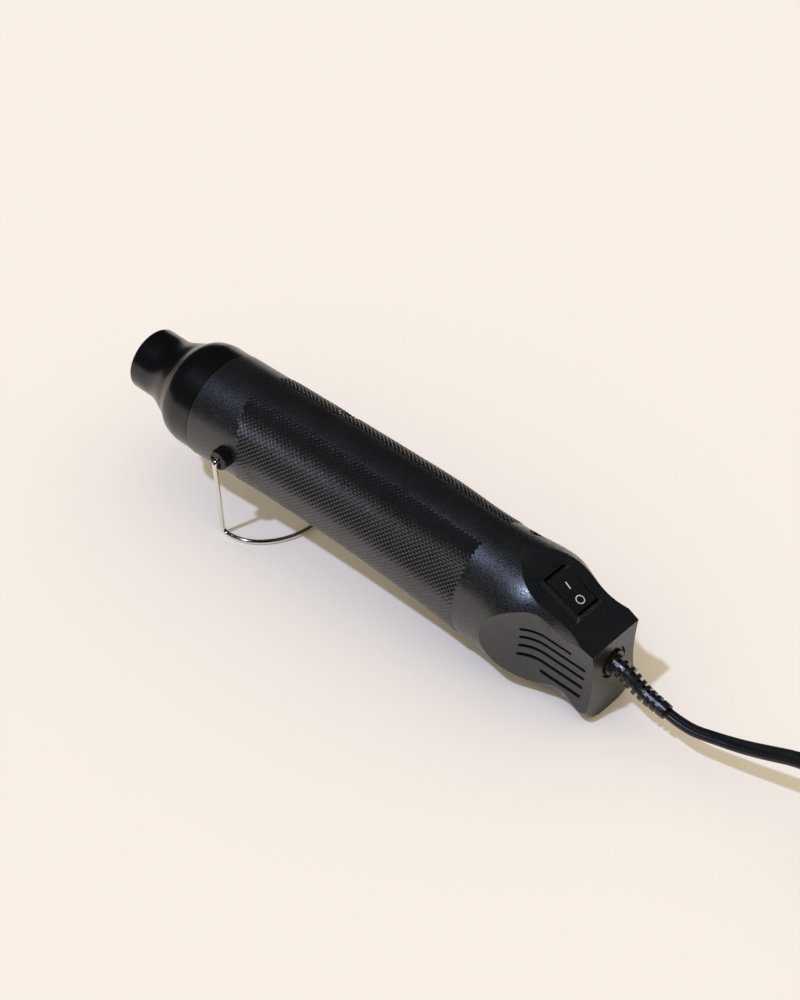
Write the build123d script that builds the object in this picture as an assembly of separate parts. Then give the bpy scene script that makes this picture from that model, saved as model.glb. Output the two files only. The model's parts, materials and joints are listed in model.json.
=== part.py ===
from build123d import *
import math
import os

# Embossing heat tool: a round barrel with a nozzle in front, a wire stand below the front,
# a rocker switch on a slope at the back and a flat two-core cord out of the rear face.
# The tool's own pieces are drawn in its frame: X runs along the axis from nozzle to cord,
# x = 0 is the front edge of the barrel, y = 0 is the parting plane, Z is up.
# At the end the tool is pitched on to its stand, so the nozzle points a little up.

# Casing
front_radius = 21.5
body_length = 190.0
shell_wall = 2.0
rear_wall = 2.6
pitch_angle = 4.07
slope_angle = 18.9
slope_run = 43.0
slope_height = 23.9
rear_lean_angle = 3.0
rear_setback = 1.9
overrun = 1.0

# Clearances
seat_gap = 0.3
slip_clearance = 0.1
running_clearance = 0.05

# Casing stations: share of the body length, then shares of the front radius for the half
# width, the top and the bottom, then the squareness of the upper and of the lower half
station_shares = [
    (0.0, 1.0, 1.0, -1.0, 2.0, 2.0),
    (0.195, 0.979, 1.072, -0.886, 2.0, 2.0),
    (0.395, 0.991, 1.115, -0.867, 2.0, 2.0),
    (0.547, 1.01, 1.13, -0.923, 2.0, 2.0),
    (0.621, 0.982, 1.12, -1.03, 2.0, 2.0),
    (0.689, 0.988, 1.112, -1.105, 2.0, 2.0),
    (0.774, 1.065, 1.112, -1.126, 2.0, 2.0),
    (0.816, 1.105, 1.112, -1.135, 2.0, 2.05),
    (0.858, 0.955, 1.09, -1.122, 1.9, 2.2),
    (0.905, 0.71, 0.96, -1.09, 2.7, 2.7),
    (0.95, 0.655, 0.84, -1.075, 3.1, 3.1),
    (1.0, 0.632, 0.707, -1.07, 3.3, 3.3),
]
section_steps = 10
section_count = 18

# Scooped side panels with their air slots, places measured from the rear end
scoop_half_width = 11.6
scoop_height_radius = 52.0
scoop_centre_height = -2.0
scoop_turn_radius = 15.0
scoop_turn_reach = 22.5
scoop_entry_angle = 34.0
scoop_height = 60.0
slot_count = 5
slot_width = 1.4
slot_pitch = 4.1
slot_first_height = 4.1
slot_front_reach = 32.0
slot_rear_reach = 4.8
slot_first_rear_reach = 11.2
slot_last_front_reach = 23.0

# Nozzle guard, one turned piece from the lip to the flange inside the casing
nozzle_reach = 39.7
mouth_wall = 1.5
lip_radius = 0.7
throat_reach = 31.0
throat_radius = 12.8
collar_radius = 21.2
collar_length = 8.5
collar_gap = 0.5
flare_shares = [(0.735, 0.16), (0.578, 0.35), (0.422, 0.542), (0.267, 0.83), (0.111, 0.964)]
bore_turn_reach = 12.0
spigot_radius = 18.0
spigot_wall = 1.6
spigot_length = 8.5
spigot_flange = 0.7
spigot_flange_length = 1.7
stop_rib_thickness = 1.5

# Wire stand and the two bosses that carry it
wire_radius = 0.95
stand_place = 20.4
stand_height = 1.0
stand_half_width = 27.0
foot_half_width = 24.5
foot_reach = 23.5
hinge_bend_radius = 1.4
foot_bend_radius = 2.6
foot_slack = 0.15
hinge_end = 21.2
boss_radius = 4.2
boss_face = 25.5
boss_chamfer = 0.4
boss_seat_gap = 0.2
boss_spigot_radius = 2.6
boss_spigot_end = 18.4
boss_bore_end = 19.9
boss_dimple_radius = 0.8
boss_dimple_depth = 1.5
boss_dimple_offset = 2.3

# Heater: tube, lining, crossed mica plates with the winding, ceramic base
heat_tube_radius = 10.0
heat_tube_wall = 0.6
heat_tube_front = 38.4
heat_tube_lip = 0.5
heat_tube_lip_length = 0.8
liner_wall = 0.5
liner_front = 30.0
mica_thickness = 0.8
mica_half_width = 6.3
mica_front = 28.0
mica_tail_half_width = 8.2
mica_tail_length = 7.0
winding_radius = 7.0
winding_wire_radius = 0.35
winding_wire_sides = 5
winding_half_turns = 18
winding_pitch = 5.2
winding_front = 24.0
base_front = 34.2
base_thickness = 4.0
base_radius = 16.6
base_bore = 8.5
terminal_place_radius = 12.6
terminal_radius = 0.8
terminal_length = 8.0
cutout_radius = 2.6
cutout_length = 5.0
cutout_place_radius = 12.2
rib_thickness = 1.8
rib_grip = 0.9

# Motor, its mount and the fan
motor_front = 80.0
motor_length = 28.0
motor_radius = 12.2
motor_boss_radius = 3.0
motor_boss_length = 1.6
motor_cap_length = 3.0
motor_cap_radius = 11.6
motor_chamfer = 1.0
motor_bore_depth = 12.0
motor_tab_width = 2.8
motor_tab_thickness = 0.5
motor_tab_length = 4.5
motor_tab_place = 7.0
shaft_radius = 1.0
fan_radius = 16.6
fan_hub_radius = 5.0
fan_hub_length = 10.0
fan_gap = 4.8
blade_count = 7
blade_thickness = 1.2
blade_root_angle = 48.0
blade_tip_angle = 28.0
blade_width = 8.6
mount_radius = 18.2
mount_thickness = 2.4
mount_hub_radius = 9.0
mount_rim = 2.6
mount_arm_width = 5.0
motor_screw_place = 6.2
motor_screw_length = 4.5
lead_notch_height = 5.0
lead_notch_depth = 1.7

# Round-headed screws
screw_radius = 1.15
screw_head_radius = 2.4
screw_head_height = 1.6
screw_slot_width = 0.6
screw_slot_depth = 0.7

# Rectifier board and what it carries
board_front = 115.5
board_length = 21.0
board_width = 31.0
board_thickness = 1.6
board_top = -7.0
ledge_width = 2.4
ledge_thickness = 1.4
diode_count = 4
diode_radius = 1.35
diode_length = 5.2
diode_pitch = 5.4
diode_place = 8.0
diode_lift = 2.2
pin_radius = 0.4
pin_reach = 0.8
diode_pin_spread = 4.2
pin_bend = 0.8
capacitor_length = 6.0
capacitor_width = 12.0
capacitor_height = 8.0
capacitor_place = 17.3
capacitor_side = 5.0
capacitor_lift = 0.4
capacitor_pin_spread = 5.0

# Screws that hold the shells together: place along the tool, and 1 at the top or -1 below
shell_screw_places = [(50.0, -1), (50.0, 1), (129.0, -1), (141.0, 1), (178.0, -1)]
post_radius = 3.9
post_inset = 5.6
pilot_radius = 1.2
pilot_depth = 8.6
pocket_radius = 2.9
pocket_floor = 6.0
shell_screw_reach = 8.0

# Rocker switch, drawn on the slope
switch_place = 20.6
bezel_length = 20.8
bezel_width = 14.8
bezel_height = 2.0
bezel_slant = 1.1
bezel_corner = 0.8
switch_body_length = 18.6
switch_body_width = 12.6
switch_body_depth = 9.5
switch_room = 6.9
switch_clip_reach = 0.8
switch_clip_length = 3.0
rocker_end_radius = 8.4
rocker_half_top = 7.3
rocker_width = 10.4
rocker_side_gap = 0.3
rocker_end_gap = 0.45
rocker_rest_angle = 9.0
rocker_pivot_depth = 1.2
rocker_rise = 4.1
rocker_dish = 1.0
rocker_shoulder = 1.2
rocker_foot = 3.2
rocker_foot_half = 3.5
rocker_pin_radius = 1.1
rocker_pin_reach = 0.9
blade_terminal_width = 4.8
blade_terminal_thickness = 0.8
blade_terminal_length = 6.0
blade_terminal_place = 5.6

# Strain relief: a flange behind the gland's floor, a neck, and a ribbed bent boot
gland_radius = 6.5
gland_height = -1.4
gland_depth = 2.2
gland_floor = 1.8
gland_wall = 1.2
relief_neck_radius = 3.6
relief_flange_radius = 5.4
relief_flange_thickness = 1.6
relief_root_radius = 4.7
relief_rear_radius = 3.9
relief_tip_radius = 2.9
relief_core_share = 0.68
relief_rib_count = 8
relief_rib_thickness = 1.5
relief_tip_length = 3.0
relief_points = [(0.0, 0.0, 0.0), (7.5, -0.1, -0.4), (16.5, -0.7, -4.2), (27.6, -1.6, -5.0)]
relief_radii = [20.0, 20.0]

# Cord clamp inside, on two posts of the near shell
saddle_reach = 13.4
saddle_length = 4.4
clamp_thickness = 2.2
clamp_screw_spread = 5.8
clamp_post_radius = 2.4
clamp_screw_length = 6.0

# Cord: a flat two-core lead, drawn where it lies
cord_width = 5.6
cord_thickness = 2.8
cord_edge = 1.4
inner_cord_reach = 20.5
cord_route = [
    (158.4, -0.7, 15.1),
    (168.4, 0.7, 16.7),
    (178.6, 1.9, 19.7),
    (190.0, 2.7, 24.0),
    (201.8, 2.2, 26.4),
    (213.6, -0.8, 25.0),
    (224.2, -6.2, 20.4),
    (234.0, -13.0, 13.2),
    (244.8, -19.2, 7.4),
    (257.0, -23.0, 4.15),
]
first_run = 9.0
arc_share = 0.45
coil_outer_radius = 37.0
coil_step = 1.8
coil_half_turns = 14
coil_tail = 27.0
coil_centre = (269.5, 14.0)
gap_samples = 24
tie_thickness = 1.0
tie_width = 6.0
tie_gap = 0.35

# Plug on the cord's end, standing on its edge
plug_length = 26.0
plug_width = 20.5
plug_thickness = 12.0
plug_corner = 2.5
plug_neck_length = 9.0
plug_neck_width = 9.0
plug_neck_thickness = 6.4
blade_spacing = 12.7
plug_blade_width = 6.3
plug_blade_thickness = 1.5
plug_blade_length = 17.0
plug_blade_seat = 6.0
plug_hole_radius = 1.6
plug_hole_place = 13.5

# Leads inside
lead_radius = 0.65
lead_bend = 3.0
lead_wall_gap = 0.75
lead_sides = 6

slope_start = body_length - slope_run
size = 2 * body_length
pieces = {}


def cylinder_along_x(radius, start, end, y=0.0, z=0.0):
    """A round bar along the tool, from start to end."""
    disc = Plane(origin=(start, y, z), x_dir=(0, 1, 0), z_dir=(1, 0, 0)) * Circle(radius)
    return extrude(disc, end - start)


def cylinder_along_y(radius, start, end, x, z):
    """A round bar across the tool, from start to end."""
    disc = Plane(origin=(x, start, z), x_dir=(1, 0, 0), z_dir=(0, 1, 0)) * Circle(radius)
    return extrude(disc, end - start)


def tube_along_x(outer, inner, start, end, y=0.0, z=0.0):
    """A ring or pipe along the tool, open at both ends."""
    bar = cylinder_along_x(outer, start, end, y, z)
    return bar - cylinder_along_x(inner, start - overrun, end + overrun, y, z)


def block(x_span, y_span, z_span):
    """A box given by where it starts and ends along each axis."""
    spans = (x_span, y_span, z_span)
    centre = [(low + high) / 2 for low, high in spans]
    return Pos(*centre) * Box(*[high - low for low, high in spans])


def both_sides(span):
    """A span about zero."""
    return (-span, span)


def swept_round(path, radius):
    """A round wire or lead along a path."""
    start = Plane(origin=path @ 0, z_dir=path % 0)
    return sweep(start * Circle(radius), path=path)


def lead(points):
    """An insulated lead through the points, with its usual bend at each corner."""
    path = FilletPolyline(*points, radius=lead_bend)
    start = Plane(origin=path @ 0, z_dir=path % 0)
    return sweep(start * RegularPolygon(lead_radius, lead_sides), path=path)


def screw_along_x(place, y, z, length):
    """A slotted screw: its head lies behind the place, its shank runs on from there."""
    head = cylinder_along_x(screw_head_radius, place - screw_head_height, place, y, z)
    shank = cylinder_along_x(screw_radius, place, place + length, y, z)
    slot = block(
        (place - screw_head_height - overrun, place - screw_head_height + screw_slot_depth),
        (y - screw_head_radius - overrun, y + screw_head_radius + overrun),
        (z - screw_slot_width / 2, z + screw_slot_width / 2),
    )
    return head + shank - slot


def turned_to_y(screw, place):
    """A screw drawn at the origin, turned so that it points to the near side from the place."""
    return Pos(*place) * Rot(0, 0, -90) * screw


def smooth_line(points, start, end):
    """A curve through the points that leaves and arrives in the given directions."""
    return Spline(*points, tangents=[start, end], tangent_scalars=[1, 1])


# Casing form
def station_at(share):
    """The casing's values at a share of its length, on smooth curves through the stations."""
    count = len(station_shares)
    after = next(index for index in range(1, count) if station_shares[index][0] >= share)
    start, end = station_shares[after - 1], station_shares[after]
    before, beyond = station_shares[max(after - 2, 0)], station_shares[min(after + 1, count - 1)]
    span = end[0] - start[0]
    turn = (share - start[0]) / span
    values = [share]
    for low, value, other, high in zip(before[1:], start[1:], end[1:], beyond[1:]):
        slope_in = (other - low) / (end[0] - before[0]) * span
        slope_out = (high - value) / (beyond[0] - start[0]) * span
        values.append(
            value * (2 * turn ** 3 - 3 * turn ** 2 + 1)
            + slope_in * (turn ** 3 - 2 * turn ** 2 + turn)
            + other * (3 * turn ** 2 - 2 * turn ** 3)
            + slope_out * (turn ** 3 - turn ** 2)
        )
    return values


def half_width_at(place):
    return station_at(place / body_length)[1] * front_radius


def top_at(place):
    return station_at(place / body_length)[2] * front_radius


def bottom_at(place):
    return station_at(place / body_length)[3] * front_radius


def middle_at(place):
    return (top_at(place) + bottom_at(place)) / 2


def half_section(station, inset):
    """Half of a cross-section: superellipse quarters above and below the widest line."""
    share, width, top, bottom, square_top, square_bottom = station
    place = share * body_length
    half_width = width * front_radius - inset
    middle = (top + bottom) / 2 * front_radius
    half_height = (top - bottom) / 2 * front_radius - inset
    points = []
    for step in range(section_steps + 1):
        turn = math.radians(180 * step / section_steps - 90)
        square = square_top if turn > 0 else square_bottom
        across = max(math.cos(turn), 0.0) ** (2 / square)
        along = abs(math.sin(turn)) ** (2 / square)
        points.append((place, -half_width * across, middle + math.copysign(half_height * along, turn)))
    side = smooth_line(points, (0, -1, 0), (0, 1, 0))
    return make_face(Wire([side, Line(points[-1], points[0])]))


def half_loft(inset):
    """The near half of the casing as a solid, drawn in by the inset."""
    shares = [number / (section_count - 1) for number in range(section_count)]
    return loft([half_section(station_at(share), inset) for share in shares])


def slope_plane(drop):
    """Plane of the switch's slope, its x along the slope, lowered into the body by the drop."""
    tilt = math.radians(slope_angle)
    normal = (math.sin(tilt), 0, math.cos(tilt))
    origin = (slope_start - drop * normal[0], 0, slope_height - drop * normal[2])
    return Plane(origin=origin, x_dir=(math.cos(tilt), 0, -math.sin(tilt)), z_dir=normal)


def above_slope(drop):
    return slope_plane(drop) * Pos(0, 0, size / 2) * Box(size, size, size)


def rear_place(height):
    """Where the leaning rear face lies at a height."""
    edge_height = slope_height - (slope_run - rear_setback) * math.tan(math.radians(slope_angle))
    return body_length - rear_setback + (edge_height - height) * math.tan(math.radians(rear_lean_angle))


def behind_rear(forward):
    """What lies behind the rear face, moved forward by the given wall."""
    lean = math.radians(rear_lean_angle)
    rear = Plane(origin=(rear_place(0) - forward, 0, 0), x_dir=(0, 1, 0),
                 z_dir=(math.cos(lean), 0, math.sin(lean)))
    return rear * Pos(0, 0, size / 2) * Box(size, size, size)


def scoop_cutter(grow):
    """What the near side panel takes away: it runs in at an angle, turns and runs to the rear."""
    place = body_length - scoop_turn_reach
    reach = scoop_turn_radius + grow
    axis_y = -(scoop_half_width + scoop_turn_radius)
    low = scoop_centre_height - scoop_height / 2
    high = scoop_centre_height + scoop_height / 2
    edge = reach - scoop_height_radius + math.sqrt(scoop_height_radius ** 2 - (scoop_height / 2) ** 2)
    side = Plane(origin=(place, axis_y, 0), x_dir=(0, 1, 0), z_dir=(1, 0, 0))
    outline = Polyline((edge, high), (0, high), (0, low), (edge, low))
    bulge = ThreePointArc((edge, low), (reach, scoop_centre_height), (edge, high))
    profile = side * make_face(Wire([*outline.edges(), bulge]))
    hinge = Axis((place, axis_y, 0), (0, 0, 1))
    angle = math.radians(scoop_entry_angle)
    rear_run = extrude(profile, body_length)
    turn = revolve(profile, hinge, scoop_entry_angle)
    swung = profile.rotate(hinge, scoop_entry_angle)
    front_run = extrude(swung, body_length, dir=(-math.cos(angle), -math.sin(angle), 0))
    return rear_run + turn + front_run


def air_slots():
    """The slots in the near side panel; the first and the last are shorter."""
    slots = []
    for number in range(slot_count):
        height = slot_first_height - number * slot_pitch
        front_reach = slot_last_front_reach if number == slot_count - 1 else slot_front_reach
        rear_reach = slot_first_rear_reach if number == 0 else slot_rear_reach
        middle = body_length - (front_reach + rear_reach) / 2
        face = Plane(origin=(middle, -2 * front_radius, height), x_dir=(1, 0, 0), z_dir=(0, 1, 0))
        slot = face * SlotOverall(front_reach - rear_reach, slot_width)
        slots.append(extrude(slot, 2 * front_radius - scoop_half_width / 2))
    return slots


# Places that several pieces share
motor_height = middle_at(motor_front)
base_rear = base_front + base_thickness
mount_front = motor_front - mount_thickness
board_rear = board_front + board_length
board_bottom = board_top - board_thickness
saddle_place = body_length - saddle_reach
inner_cord_front = body_length - inner_cord_reach
gland_place = rear_place(gland_height) - gland_depth
flange_rear = gland_place - gland_floor - slip_clearance
flange_front = flange_rear - relief_flange_thickness
stop_rib_rear = spigot_length - spigot_flange_length - seat_gap
screw_spots = []
for place, side in shell_screw_places:
    edge = top_at(place) if side > 0 else bottom_at(place)
    screw_spots.append((place, edge - side * post_inset))


def inner_rib(start, thickness, bore, height, notched=False):
    """A half ring inside the near shell; a notched one lets a lead pass at its side."""
    rib = block((start, start + thickness), (-2 * front_radius, 0), both_sides(2 * front_radius))
    rib = rib - cylinder_along_x(bore, start - overrun, start + thickness + overrun, z=height)
    if notched:
        rib = rib - block(
            (start - overrun, start + thickness + overrun),
            (-bore - lead_notch_depth, 0),
            (height - lead_notch_height / 2, height + lead_notch_height / 2),
        )
    return rib


def board_rail():
    """The grooved rail on the near side that holds the edge of the board."""
    rail = block(
        (board_front - seat_gap - ledge_thickness, board_rear + seat_gap + ledge_thickness),
        (-2 * front_radius, -board_width / 2 + ledge_width),
        (board_bottom - seat_gap - ledge_thickness, board_top + seat_gap + ledge_thickness),
    )
    groove = block(
        (board_front - seat_gap, board_rear + seat_gap),
        (-board_width / 2 - seat_gap, 0),
        (board_bottom - seat_gap, board_top + seat_gap),
    )
    return rail - groove


def casing_inside():
    """What the near half keeps free inside: the inner form less its ribs, posts and seats."""
    room = half_loft(shell_wall) - above_slope(shell_wall) - behind_rear(rear_wall)
    room = room - scoop_cutter(shell_wall)
    fittings = [
        inner_rib(stop_rib_rear - stop_rib_thickness, stop_rib_thickness, spigot_radius + seat_gap, 0),
        inner_rib(base_front - seat_gap - rib_thickness, rib_thickness, base_radius - rib_grip, 0),
        inner_rib(base_rear + seat_gap, rib_thickness, base_radius - rib_grip, 0),
        inner_rib(mount_front - seat_gap - rib_thickness, rib_thickness, mount_radius - rib_grip,
                  motor_height, notched=True),
        inner_rib(motor_front + seat_gap, rib_thickness, mount_radius - rib_grip,
                  motor_height, notched=True),
        board_rail(),
        cylinder_along_x(gland_radius + gland_wall, gland_place - gland_floor, body_length,
                         z=gland_height),
    ]
    for place, height in screw_spots:
        fittings.append(cylinder_along_y(post_radius, -2 * front_radius, 0, place, height))
    return room - fittings


def make_casing():
    """The two shells: equal forms, with screw holes in one and pockets for the heads in the other."""
    form = half_loft(0) - above_slope(0) - behind_rear(0) - scoop_cutter(0)
    rear_end = body_length + overrun
    boss_hole = cylinder_along_y(boss_spigot_radius + slip_clearance, -2 * front_radius,
                                 -boss_spigot_end + overrun, stand_place, stand_height)
    gland = cylinder_along_x(gland_radius, gland_place, rear_end, z=gland_height)
    neck = cylinder_along_x(relief_neck_radius + slip_clearance, flange_rear - overrun, rear_end,
                            z=gland_height)
    switch_hole = slope_plane(0) * Pos(switch_place, 0, 0) * block(
        both_sides(switch_body_length / 2 + slip_clearance),
        both_sides(switch_body_width / 2 + slip_clearance),
        (-shell_wall - overrun, overrun),
    )
    shell = form - casing_inside() - air_slots() - boss_hole - gland - neck - switch_hole
    near, far = shell, mirror(shell, Plane.XZ)
    for place, height in screw_spots:
        near = near - cylinder_along_y(pilot_radius, -pilot_depth, overrun, place, height)
        far = far - cylinder_along_y(screw_radius + slip_clearance, -overrun, pocket_floor + overrun,
                                     place, height)
        far = far - cylinder_along_y(pocket_radius, pocket_floor, 2 * front_radius, place, height)
    saddle_face = -cord_thickness / 2 - slip_clearance
    saddle = block(
        (saddle_place - saddle_length / 2, saddle_place + saddle_length / 2),
        (-scoop_half_width + shell_wall / 2, saddle_face),
        both_sides(cord_width / 2),
    )
    saddle = Pos(0, 0, gland_height) * saddle
    for side in (-1, 1):
        height = gland_height + side * clamp_screw_spread
        post = cylinder_along_y(clamp_post_radius, -scoop_half_width + shell_wall / 2, saddle_face,
                                saddle_place, height)
        hole = cylinder_along_y(screw_radius + running_clearance, saddle_face - clamp_screw_length,
                                overrun, saddle_place, height)
        saddle = saddle + post - hole
    pieces["left_shell"] = near + saddle
    pieces["right_shell"] = far
    screws = []
    for place, height in screw_spots:
        screw = screw_along_x(0, 0, 0, pocket_floor + shell_screw_reach)
        screws.append(turned_to_y(screw, (place, pocket_floor + running_clearance, height)))
    pieces["shell_screws"] = Compound(screws)


# Nozzle
def make_nozzle():
    """The turned guard: lip, straight throat, flare to the collar, spigot with its flange."""
    run = throat_reach - collar_length
    rise = collar_radius - throat_radius
    flare = [(-collar_length - run * along, throat_radius + rise * up) for along, up in flare_shares]
    throat = Line((-nozzle_reach + lip_radius, throat_radius), (-throat_reach, throat_radius))
    outer = smooth_line([throat @ 1, *flare, (-collar_length, collar_radius)], (1, 0), (1, 0))
    bore = spigot_radius - spigot_wall
    throat_bore = throat_radius - mouth_wall
    inner = smooth_line([
        (-bore_turn_reach, bore),
        (-(bore_turn_reach + throat_reach) / 2, (bore + throat_bore) / 2),
        (-throat_reach, throat_bore),
    ], (-1, 0), (-1, 0))
    mouth = Line(inner @ 1, (-nozzle_reach + lip_radius, throat_bore))
    lip = ThreePointArc(mouth @ 1, (-nozzle_reach, throat_radius - mouth_wall / 2), throat @ 0)
    flange_front = spigot_length - spigot_flange_length
    rear = Polyline(
        outer @ 1,
        (-collar_gap, collar_radius),
        (-collar_gap, spigot_radius),
        (flange_front, spigot_radius),
        (flange_front, spigot_radius + spigot_flange),
        (spigot_length, spigot_radius + spigot_flange),
        (spigot_length, bore),
        inner @ 0,
    )
    profile = make_face(Wire([throat, outer, *rear.edges(), inner, mouth, lip]))
    pieces["nozzle_shroud"] = revolve(profile, Axis.X)


# Heater
def half_turn(start, end, side):
    """Half a turn of wire from start to end, bulging to the given side."""
    start, end = Vector(*start), Vector(*end)
    middle = (start + end) / 2 + Vector(*side) * ((end - start).length / 2)
    return ThreePointArc(start, middle, end)


def mica_plate(slot_from, slot_to):
    """A plate with a wider tail that seats in the base, slotted over half its length."""
    rear = base_rear
    plate = block((-mica_front, rear), both_sides(mica_half_width), both_sides(mica_thickness / 2))
    tail = block((rear - mica_tail_length + base_thickness - seat_gap, rear),
                 both_sides(mica_tail_half_width), both_sides(mica_thickness / 2))
    slot = block((slot_from, slot_to), both_sides(mica_thickness / 2 + slip_clearance),
                 both_sides(mica_thickness))
    return plate + tail - slot


def make_heater():
    heat_tube_rear = base_front - slip_clearance
    tube = tube_along_x(heat_tube_radius, heat_tube_radius - heat_tube_wall,
                        -heat_tube_front, heat_tube_rear)
    lip = tube_along_x(heat_tube_radius + heat_tube_lip, heat_tube_radius - heat_tube_wall,
                       -heat_tube_front, -heat_tube_front + heat_tube_lip_length)
    pieces["heat_tube"] = tube + lip
    liner_radius = heat_tube_radius - heat_tube_wall - slip_clearance
    pieces["mica_liner"] = tube_along_x(liner_radius, liner_radius - liner_wall,
                                        -liner_front, heat_tube_rear)
    middle = (base_rear - mica_front) / 2
    pieces["flat_mica_plate"] = mica_plate(middle, base_rear + overrun)
    upright = mica_plate(-mica_front - overrun, middle + slip_clearance)
    pieces["upright_mica_plate"] = upright.rotate(Axis.X, 90)
    turns = []
    place = -winding_front
    radius = -winding_radius
    for number in range(winding_half_turns):
        side = (0, -1 if number % 2 == 0 else 1, 0)
        turns.append(half_turn((place, 0, radius), (place + winding_pitch / 2, 0, -radius), side))
        place, radius = place + winding_pitch / 2, -radius
    wire = Wire(turns)
    start = Plane(origin=wire @ 0, x_dir=(1, 0, 0), z_dir=wire % 0)
    section = start * RegularPolygon(winding_wire_radius, winding_wire_sides)
    pieces["heating_coil"] = sweep(section, path=wire)
    base = tube_along_x(base_radius, base_bore, base_front, base_rear)
    pins = []
    for side in (-1, 1):
        centre = side * terminal_place_radius
        base = base - cylinder_along_x(terminal_radius + running_clearance, base_front - overrun,
                                       base_rear + overrun, y=centre)
        pins.append(cylinder_along_x(terminal_radius, base_front, base_front + terminal_length, y=centre))
    pieces["element_base"] = base
    pieces["base_terminals"] = Compound(pins)
    pieces["thermal_cutout"] = cylinder_along_x(cutout_radius, base_rear + slip_clearance,
                                                base_rear + cutout_length, z=cutout_place_radius)


# Stand
def stand_path():
    """The wire's middle line: hinge end, leg, half-round foot, leg, hinge end."""
    leg = stand_hinge_height - wire_radius
    corner = math.tan(math.radians(45) / 2)
    depth = foot_reach - foot_bend_radius
    difference = (foot_half_width - depth) / corner
    tight = depth - difference * (1 - math.cos(math.radians(45)))
    wide = tight + difference
    near_side = [
        (0, -hinge_end, 0),
        (0, -stand_half_width, 0),
        (0, -foot_half_width, -leg),
        (foot_bend_radius + tight * corner, -foot_half_width, -leg),
        (foot_reach, -wide * corner, -leg),
    ]
    radii = [hinge_bend_radius, foot_bend_radius, tight - foot_slack, wide - foot_slack]
    far_side = [(x, -y, z) for x, y, z in reversed(near_side)]
    return FilletPolyline(*near_side, *far_side, radius=radii + radii[::-1])


def make_bosses():
    """Two round studs, each with a spigot in the shell and a bore that the wire turns in."""
    half_width = half_width_at(stand_place)
    form = cylinder_along_x(half_width + boss_seat_gap, stand_place - 2 * boss_radius,
                            stand_place + 2 * boss_radius, z=middle_at(stand_place))
    disc = cylinder_along_y(boss_radius, boss_spigot_end, boss_face, stand_place, stand_height)
    disc = chamfer(disc.faces().sort_by(Axis.Y)[-1].edges(), boss_chamfer) - form
    spigot = cylinder_along_y(boss_spigot_radius, boss_spigot_end, boss_face - boss_chamfer,
                              stand_place, stand_height)
    bore = cylinder_along_y(wire_radius + running_clearance, boss_bore_end, boss_face + overrun,
                            stand_place, stand_height)
    dimple = cylinder_along_y(boss_dimple_radius, boss_face - boss_dimple_depth, boss_face + overrun,
                              stand_place - boss_dimple_offset, stand_height)
    boss = disc + spigot - bore - dimple
    pieces["far_stand_boss"] = boss
    pieces["near_stand_boss"] = mirror(boss, Plane.XZ)


# Motor and fan
def make_motor():
    height = motor_height
    can_rear = motor_front + motor_length
    can = cylinder_along_x(motor_radius, motor_front + slip_clearance, can_rear, z=height)
    can = chamfer(can.edges().filter_by(GeomType.CIRCLE).sort_by(Axis.X)[-1], motor_chamfer)
    can = can + cylinder_along_x(motor_boss_radius, motor_front - motor_boss_length,
                                 motor_front + overrun, z=height)
    can = can - cylinder_along_x(shaft_radius + running_clearance,
                                 motor_front - motor_boss_length - overrun,
                                 motor_front + motor_bore_depth, z=height)
    mount = tube_along_x(mount_radius, mount_radius - mount_rim, mount_front, motor_front, z=height)
    hub = cylinder_along_x(mount_hub_radius, mount_front, motor_front, z=height)
    arm = block((mount_front, motor_front), both_sides(mount_radius - mount_rim / 2),
                both_sides(mount_arm_width / 2))
    arms = Pos(0, 0, height) * (arm.rotate(Axis.X, 45) + arm.rotate(Axis.X, -45))
    mount = mount + hub + arms - cylinder_along_x(motor_boss_radius + slip_clearance,
                                                  mount_front - overrun, motor_front + overrun, z=height)
    screws = []
    for side in (-1, 1):
        y = side * motor_screw_place
        mount = mount - cylinder_along_x(screw_radius + slip_clearance, mount_front - overrun,
                                         motor_front + overrun, y=y, z=height)
        can = can - cylinder_along_x(screw_radius + running_clearance, motor_front - overrun,
                                     motor_front + motor_screw_length, y=y, z=height)
        screws.append(screw_along_x(mount_front - running_clearance, y, height, motor_screw_length))
        edge = side * mount_radius
        mount = mount - block(
            (mount_front - overrun, motor_front + overrun),
            (edge - lead_notch_depth, edge + lead_notch_depth),
            (height - lead_notch_height / 2, height + lead_notch_height / 2),
        )
    pieces["motor_can"] = can
    pieces["motor_mount"] = mount
    pieces["motor_screws"] = Compound(screws)
    cap_rear = can_rear + motor_cap_length
    cap = cylinder_along_x(motor_cap_radius, can_rear + slip_clearance, cap_rear, z=height)
    pieces["motor_end_cap"] = chamfer(cap.edges().filter_by(GeomType.CIRCLE).sort_by(Axis.X)[-1],
                                      motor_chamfer)
    tabs = []
    for side in (-1, 1):
        y = side * motor_tab_place
        tabs.append(block(
            (cap_rear + slip_clearance, cap_rear + motor_tab_length),
            (y - motor_tab_thickness / 2, y + motor_tab_thickness / 2),
            (height - motor_tab_width / 2, height + motor_tab_width / 2),
        ))
    pieces["motor_tabs"] = Compound(tabs)


def fan_blade():
    """A twisted blade, steeper at the hub than at the tip."""
    sections = []
    for radius, angle in ((fan_hub_radius - blade_thickness, blade_root_angle),
                          (fan_radius, blade_tip_angle)):
        across = Plane(origin=(0, 0, radius), x_dir=(0, 1, 0), z_dir=(0, 0, 1))
        sections.append(across * Rot(0, 0, angle) * Rectangle(blade_width, blade_thickness))
    return loft(sections, ruled=True)


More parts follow.
